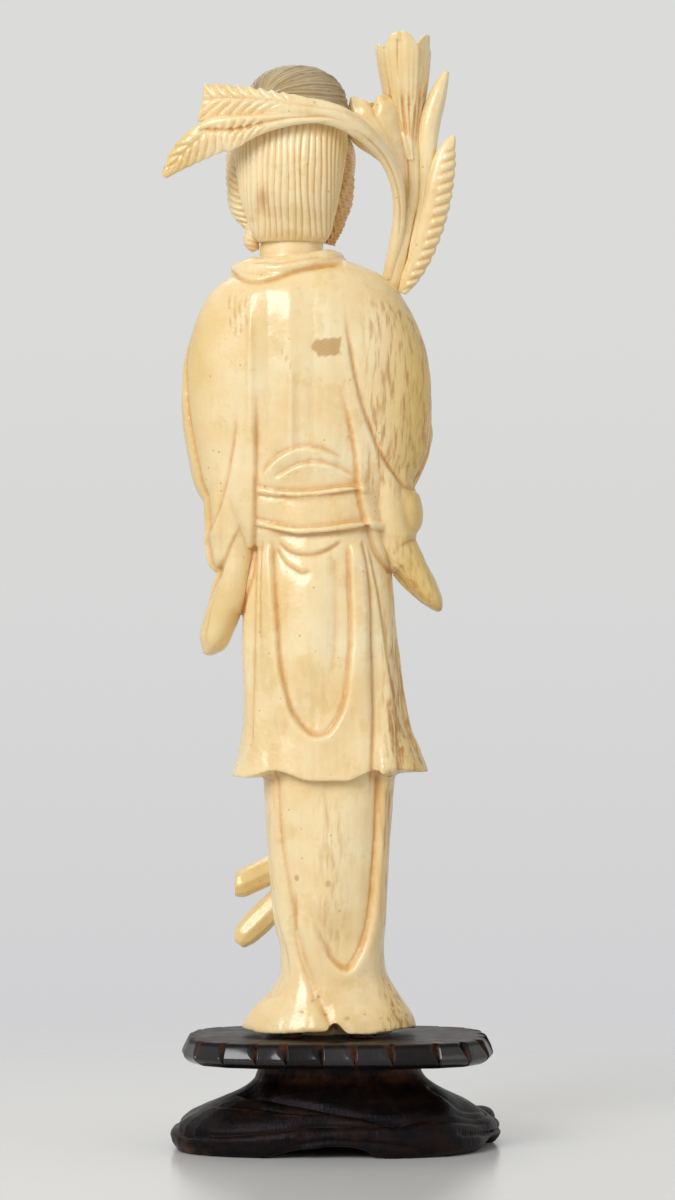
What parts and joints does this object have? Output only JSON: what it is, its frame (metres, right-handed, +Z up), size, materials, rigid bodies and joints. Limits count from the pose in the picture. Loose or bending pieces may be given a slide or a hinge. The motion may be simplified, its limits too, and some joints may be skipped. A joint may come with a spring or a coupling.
{
  "type": "carved figure of a robed lady on a stand",
  "caption": "Slim carved standing lady in a wide-sleeved robe with a tied sash, holding a flowering branch, on a waisted dark wood stand with a notched top plate.",
  "frame": {"origin": "middle of the flat underside of the stand", "axes": "+Z up; the figure faces -Y, so its carved back faces +Y; the lady's left side is +X; the flowering branch stands over her right shoulder, on -X"},
  "size_m": [0.0545, 0.0376, 0.1787],
  "materials": {
    "polished_bone": null,
    "smoked_bone": "the same bone, stained grey-brown, with carved strands",
    "rosewood": "near-black stained and waxed hardwood, reddish where it is worn",
    "peg_wood": "bare brown hardwood peg"
  },
  "bodies": {
    "stand": {"stand_foot": "rosewood", "stand_plate": "rosewood", "stand_dowel_left": "peg_wood", "stand_dowel_right": "peg_wood", "figure_peg_left": "peg_wood", "figure_peg_right": "peg_wood"},
    "figure": {"robe": "polished_bone", "head": "polished_bone", "bun_pin": "polished_bone", "left_hand": "polished_bone", "right_hand": "polished_bone", "flower_stem": "polished_bone", "tall_blossom": "polished_bone", "small_blossom": "polished_bone", "side_bud": "polished_bone", "ribbed_leaf": "polished_bone", "head_leaf": "polished_bone", "hair_bun": "smoked_bone"}
  },
  "joints": [
    {"name": "figure_lift", "type": "slide", "parent": "stand", "child": "figure", "axis": [0, 0, 1], "range_m": [0, 0.012]}
  ]
}
